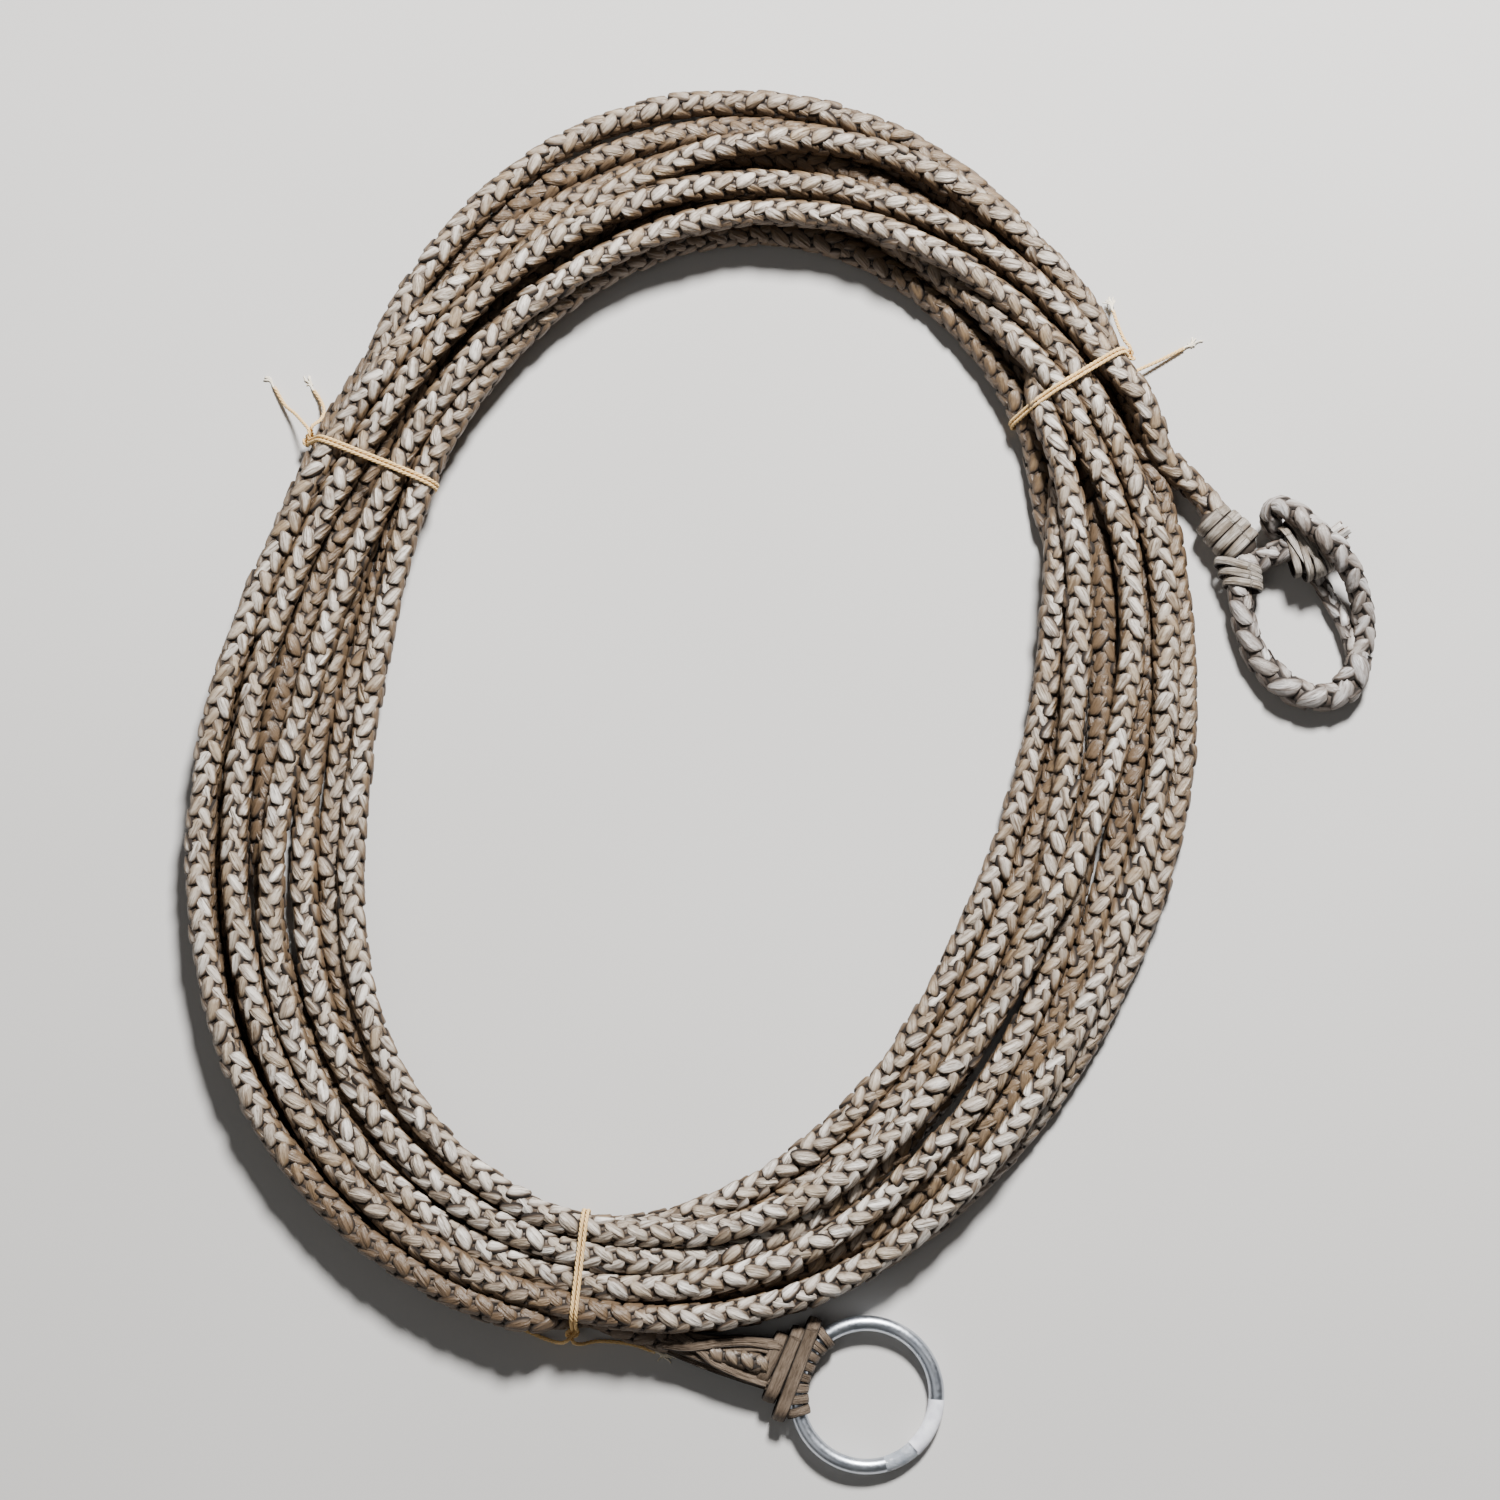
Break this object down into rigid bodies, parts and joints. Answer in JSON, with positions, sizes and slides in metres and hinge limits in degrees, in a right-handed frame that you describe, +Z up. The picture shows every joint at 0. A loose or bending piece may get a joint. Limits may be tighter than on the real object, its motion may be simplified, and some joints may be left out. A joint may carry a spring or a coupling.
{
  "type": "coiled braided rawhide lasso",
  "caption": "Long round-braided rawhide rope in a tied oval coil, with a lashed steel ring at one end and a braided loop closed by a button at the other.",
  "frame": {"origin": "on the floor under the centre of the whole part's bounding box", "axes": "+Z up from the floor, +Y along the coil's longer side and away from the ring, +X towards the keeper loop"},
  "size_m": [0.5118, 0.6028, 0.031],
  "materials": {
    "rawhide_braid": "dry bleached rawhide strands with dark crevices",
    "rawhide_loop_braid": "dry grey-tan rawhide, coarse braid",
    "rawhide_strip": "flat rawhide strip with dark cut edges",
    "galvanised_steel": "zinc-coated welded wire, slightly dulled",
    "label_paper": "blank matt paper",
    "clear_tape": "thin clear tape",
    "waxed_twine": "golden waxed twine with pale frayed ends"
  },
  "bodies": {
    "rope": {"rope_coil": "rawhide_braid", "rope_ring_end": "rawhide_braid", "rope_loop_end": "rawhide_braid", "ring_eye_loops": "rawhide_strip", "ring_fan_core": "rawhide_strip", "ring_fan_strands": "rawhide_strip", "ring_wrap_inner": "rawhide_strip", "ring_wrap_middle": "rawhide_strip", "ring_wrap_outer": "rawhide_strip", "loop_splice_core": "rawhide_strip", "loop_wrap_1": "rawhide_strip", "loop_wrap_2": "rawhide_strip", "loop_wrap_3": "rawhide_strip", "loop_wrap_4": "rawhide_strip", "loop_cross_wrap_1": "rawhide_strip", "loop_cross_wrap_2": "rawhide_strip", "loop_cross_wrap_3": "rawhide_strip", "keeper_loop": "rawhide_loop_braid", "eye_outer_branch": "rawhide_loop_braid", "eye_inner_branch": "rawhide_loop_braid", "eye_tip_knot": "rawhide_loop_braid", "short_leg": "rawhide_loop_braid", "button_knot": "rawhide_loop_braid", "button_end": "rawhide_loop_braid", "tie_left_band": "waxed_twine", "tie_left_knot": "waxed_twine", "tie_left_tails": "waxed_twine", "tie_right_band": "waxed_twine", "tie_right_knot": "waxed_twine", "tie_right_tails": "waxed_twine", "tie_bottom_band": "waxed_twine", "tie_bottom_knot": "waxed_twine", "tie_bottom_tails": "waxed_twine"},
    "ring": {"steel_ring": "galvanised_steel", "ring_label": "label_paper", "ring_tape": "clear_tape"}
  },
  "joints": [
    {"name": "ring_spin", "type": "hinge", "parent": "rope", "child": "ring", "pos_m": [0.031, -0.2728, 0.00503], "axis": [0.0492, -0.0179, 0.9986], "range_deg": [-80, 120]}
  ]
}
